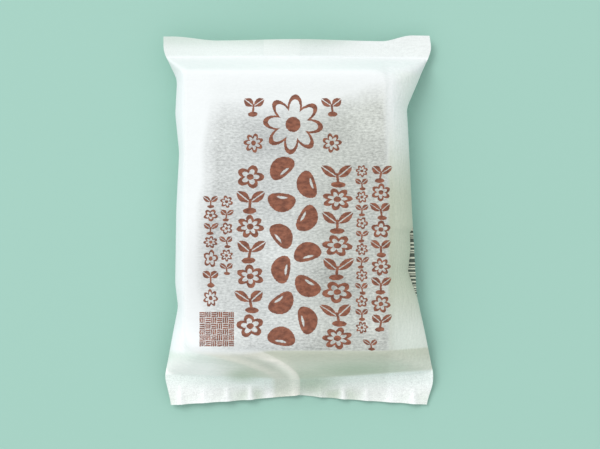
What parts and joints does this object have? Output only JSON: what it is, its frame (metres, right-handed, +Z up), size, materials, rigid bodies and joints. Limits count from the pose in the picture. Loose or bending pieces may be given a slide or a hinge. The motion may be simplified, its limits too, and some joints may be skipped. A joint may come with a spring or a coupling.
{
  "type": "paper pillow pack of agar jelly",
  "caption": "Shut pillow pack of white rice paper with crimped ends and a lap seam on its back, filled flat and lying on its back with its printed face up.",
  "frame": {"origin": "middle of the pack's outline, on the surface that it lies on", "axes": "+Y from the foot of the pack to its head, along its length; +Z up, out of the printed front"},
  "size_m": [0.1281, 0.1763, 0.027],
  "materials": {
    "rice_paper": "matte white rice paper, slightly translucent, with brown print on its front"
  },
  "bodies": {
    "root": {"paper_pack": "rice_paper"}
  },
  "joints": []
}
